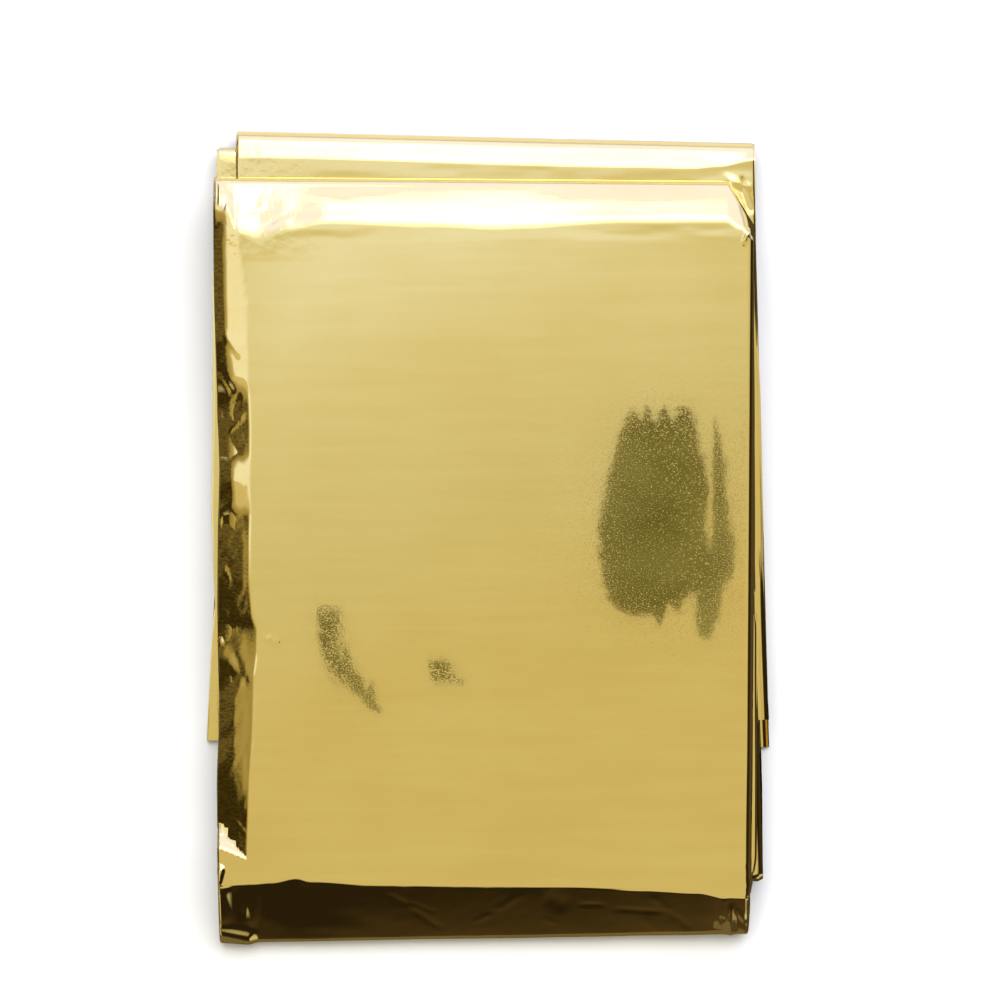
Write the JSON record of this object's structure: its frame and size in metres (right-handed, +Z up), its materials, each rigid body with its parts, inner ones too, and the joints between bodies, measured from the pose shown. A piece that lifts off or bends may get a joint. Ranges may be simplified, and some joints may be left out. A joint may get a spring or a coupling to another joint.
{
  "type": "emergency foil blanket",
  "caption": "Gold metallised film rescue blanket, pleated into a strip and folded back and forth into a flat packet with rounded top folds and a sloped bottom fold.",
  "frame": {"origin": "under the middle of the packet, on the surface that it lies on", "axes": "+X across the packet, +Y along it from the sloped bottom fold to the two rounded top folds, +Z up through the plies"},
  "size_m": [0.0927, 0.1336, 0.0109],
  "materials": {
    "gold_foil": "glossy gold-tinted metallised polyester film"
  },
  "bodies": {
    "root": {"foil_blanket": "gold_foil"}
  },
  "joints": []
}
